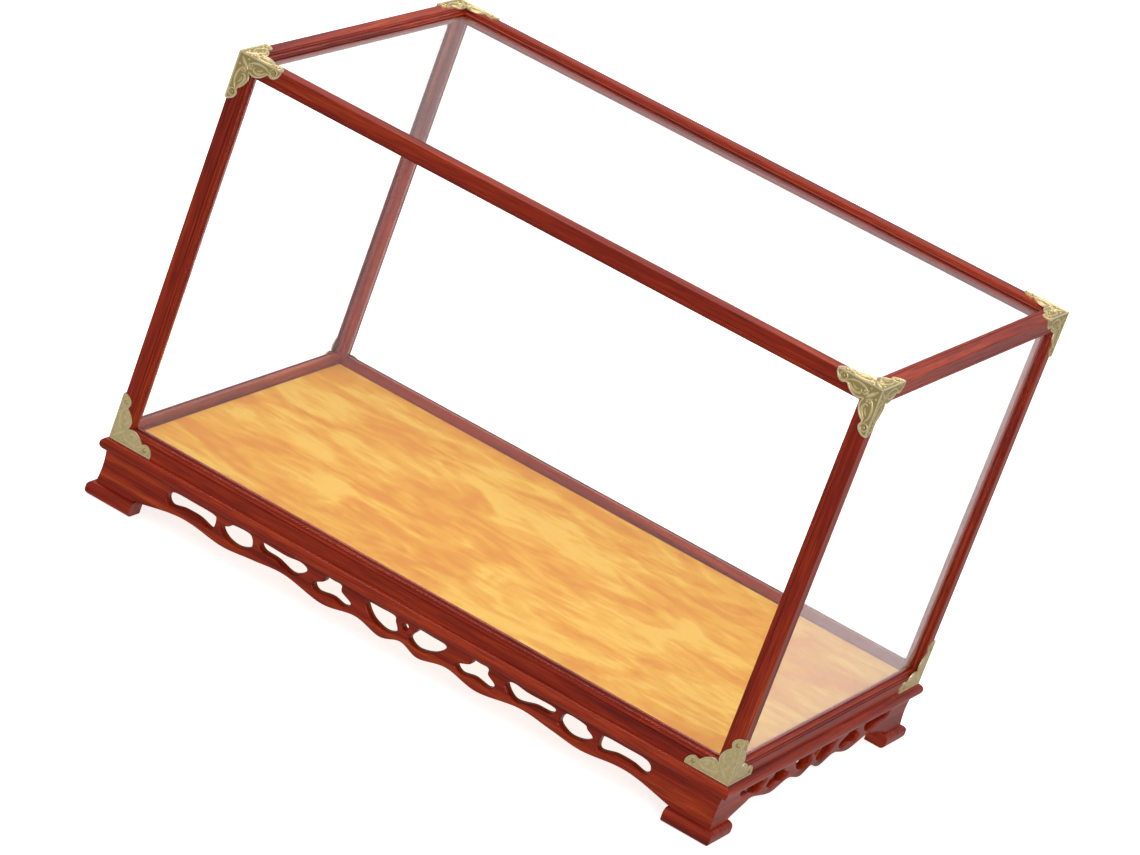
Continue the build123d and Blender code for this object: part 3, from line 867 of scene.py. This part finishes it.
# %% Make the pins
def made_by(tree, name, points, directions):
    """The plain mesh object that a tree makes on a set of points."""
    seed = bpy.data.meshes.new(f"{name}_points")
    seed.from_pydata([tuple(p) for p in points], [], [])
    layer = seed.attributes.new("outward", "FLOAT_VECTOR", "POINT")
    layer.data.foreach_set("vector", np.asarray(directions, dtype=np.float32).ravel())
    maker = bpy.data.objects.new(f"{name}_maker", seed)
    bpy.context.scene.collection.objects.link(maker)
    modifier = maker.modifiers.new("maker", "NODES")
    modifier.node_group = tree
    for socket in tree.interface.items_tree:
        if socket.in_out == "INPUT" and socket.socket_type == "NodeSocketFloat":
            modifier[socket.identifier] = socket.default_value
    seen = maker.evaluated_get(bpy.context.evaluated_depsgraph_get())
    mesh = bpy.data.meshes.new_from_object(seen)
    maker.modifiers.remove(modifier)
    bpy.data.objects.remove(maker)
    piece = bpy.data.objects.new(name, mesh)
    bpy.context.scene.collection.objects.link(piece)
    print(name, "faces", len(mesh.polygons))
    return piece


pins = made_by(
    pin_tree(), "domed_pins",
    [place * MM for place, _ in pins_at], [outward for _, outward in pins_at],
)
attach(pins, "cover")
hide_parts("corner_pins")

# %% [markdown]
# ## The velvet floor
# One rectangle of velvet is stretched over the board and pulled down over its four edges, where
# it turns over a small radius. It is a sheet, so it is a grid of points whose outer rows go
# round the edge, with a real thickness under them. The pull leaves the top very slightly uneven.

# %% Stretch the velvet
LINING = 0.8
TURN = 2.2                       # radius of the cloth at the board's edge
DIP = 0.12                       # the most that the top sinks


def wrapped(distance, half, drop):
    """Place across and depth of a point that far from the middle, measured along the cloth."""
    side = np.sign(distance)
    d = np.abs(distance)
    flat = half - TURN
    arc = TURN * math.pi / 2
    angle = np.clip((d - flat) / TURN, 0, math.pi / 2)
    across = np.minimum(d, flat) + TURN * np.sin(angle)
    depth = TURN * (1 - np.cos(angle)) + np.maximum(d - flat - arc, 0)
    return side * across, np.minimum(depth, drop)


def cloth_rows(half, drop, step):
    """Distances from the middle at which the cloth has points."""
    flat = half - TURN
    arc = TURN * math.pi / 2
    inner = np.linspace(0, flat, round(flat / step) + 1)
    bend = flat + np.linspace(0, arc, 7)[1:]
    hang = flat + arc + np.linspace(0, drop - TURN, 4)[1:]
    right_half = np.concatenate([inner, bend, hang])
    return np.concatenate([-right_half[:0:-1], right_half])


def unevenness(x, y):
    """Between 0 and 1: slow waves over the cloth, about 145 to 420 mm long, that don't fall in step."""
    return 0.5 + 0.25 * math.sin(x / 31 + 1.3 * math.sin(y / 47)) + 0.25 * math.cos(y / 23 + x / 67)


low, high = box["floor_lining"]
half_x, half_y, drop = high[0], high[1], high[2] - low[2]
columns = cloth_rows(half_x, drop, 5.0)
levels = cloth_rows(half_y, drop, 5.0)
across_x, depth_x = wrapped(columns, half_x, drop)
across_y, depth_y = wrapped(levels, half_y, drop)
cloth_points = []
for y, dy in zip(across_y, depth_y):
    for x, dx in zip(across_x, depth_x):
        cloth_points.append((x, y, high[2] - max(dx, dy, DIP * unevenness(x, y))))
wide = len(columns)
cloth_faces = [
    (j * wide + i, j * wide + i + 1, (j + 1) * wide + i + 1, (j + 1) * wide + i)
    for j in range(len(levels) - 1) for i in range(wide - 1)
]
cloth_mesh = bpy.data.meshes.new("velvet_lining")
cloth_mesh.from_pydata([tuple(c * MM for c in p) for p in cloth_points], [], cloth_faces)
cloth_mesh.shade_smooth()
cloth_mesh.materials.append(velvet)
cloth = bpy.data.objects.new("velvet_lining", cloth_mesh)
bpy.context.scene.collection.objects.link(cloth)
thick = cloth.modifiers.new("thickness", "SOLIDIFY")
thick.thickness = LINING * 0.9 * MM
thick.offset = -1.0
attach(cloth, "base")
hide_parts("floor_lining")

# %% [markdown]
# ## Floor and light
# The case stands on a plain pale floor in soft light: one wide light above and behind gives the
# tops of the members their shine, a weaker one lights the front, and the room is evenly white.
# The floor gives off a little light of its own, as a lit table does, so shadows stay faint.
# A white room also lays a white veil on lacquer and glass, and a white floor lights the undersides.
# A studio cuts that with a polarising filter and black cards; here the room is simply dimmer for
# reflected rays, and the floor for reflected and scattered ones. A ray that went through a pane
# counts as glossy too, and it has to keep what it sees, so it is left out.

# %% Floor
REFLECTED = 0.4                  # how bright the room and the floor look in a reflection
ROOM = 0.68                      # how bright the room is for every other ray


def only_reflected(tree):
    """A socket that is 1 for a ray that a surface reflected, and 0 for one that came through glass."""
    ray = add(tree, "ShaderNodeLightPath").outputs
    through = add(tree, "ShaderNodeMath", {0: 1.0, 1: ray["Is Transmission Ray"]}, operation="SUBTRACT")
    both = add(tree, "ShaderNodeMath", {0: ray["Is Glossy Ray"], 1: through.outputs[0]}, operation="MULTIPLY")
    return both.outputs[0]


bpy.ops.mesh.primitive_plane_add(size=40)
ground = bpy.context.object
ground.name = "ground"
pale, tree = blank_material("pale_ground")
seen = add(tree, "ShaderNodeBsdfPrincipled", {
    "Base Color": linear("#f4f4f4"), "Roughness": 0.9,
    "Emission Color": linear("#ffffff"), "Emission Strength": 0.75,
})
dim = add(tree, "ShaderNodeEmission", {"Color": linear("#ffffff"), "Strength": REFLECTED})
ray = add(tree, "ShaderNodeLightPath")
bounced = add(tree, "ShaderNodeMath", {0: only_reflected(tree), 1: ray.outputs["Is Diffuse Ray"]},
              operation="ADD")
surface = add(tree, "ShaderNodeMixShader", {0: bounced.outputs[0], 1: seen.outputs[0], 2: dim.outputs[0]})
finish_material(pale, tree, surface)
ground.data.materials.append(pale)

# %% Room and lamps
world = bpy.data.worlds.new("white_room")
bpy.context.scene.world = world
world.use_nodes = True
tree = world.node_tree
tree.nodes.clear()
strength = add(tree, "ShaderNodeMapRange", {
    "Value": only_reflected(tree), "To Min": ROOM, "To Max": REFLECTED,
})
air = add(tree, "ShaderNodeBackground", {"Color": linear("#ffffff"), "Strength": strength.outputs["Result"]})
add(tree, "ShaderNodeOutputWorld", {"Surface": air.outputs[0]})


def soft_light(name, place, aim, size, power):
    lamp = bpy.data.lights.new(name, "AREA")
    lamp.shape = "DISK"
    lamp.size = size
    lamp.energy = power
    holder = bpy.data.objects.new(name, lamp)
    bpy.context.scene.collection.objects.link(holder)
    toward = Vector(aim) - Vector(place)
    holder.matrix_world = Matrix.Translation(place) @ toward.to_track_quat("-Z", "Y").to_matrix().to_4x4()


soft_light("above", place=(-0.4, 0.5, 2.2), aim=(0, 0, 0.2), size=2.6, power=25)
soft_light("front", place=(1.9, -2.1, 1.3), aim=(0, 0, 0.1), size=1.2, power=12)
bpy.context.scene.view_settings.view_transform = "Standard"
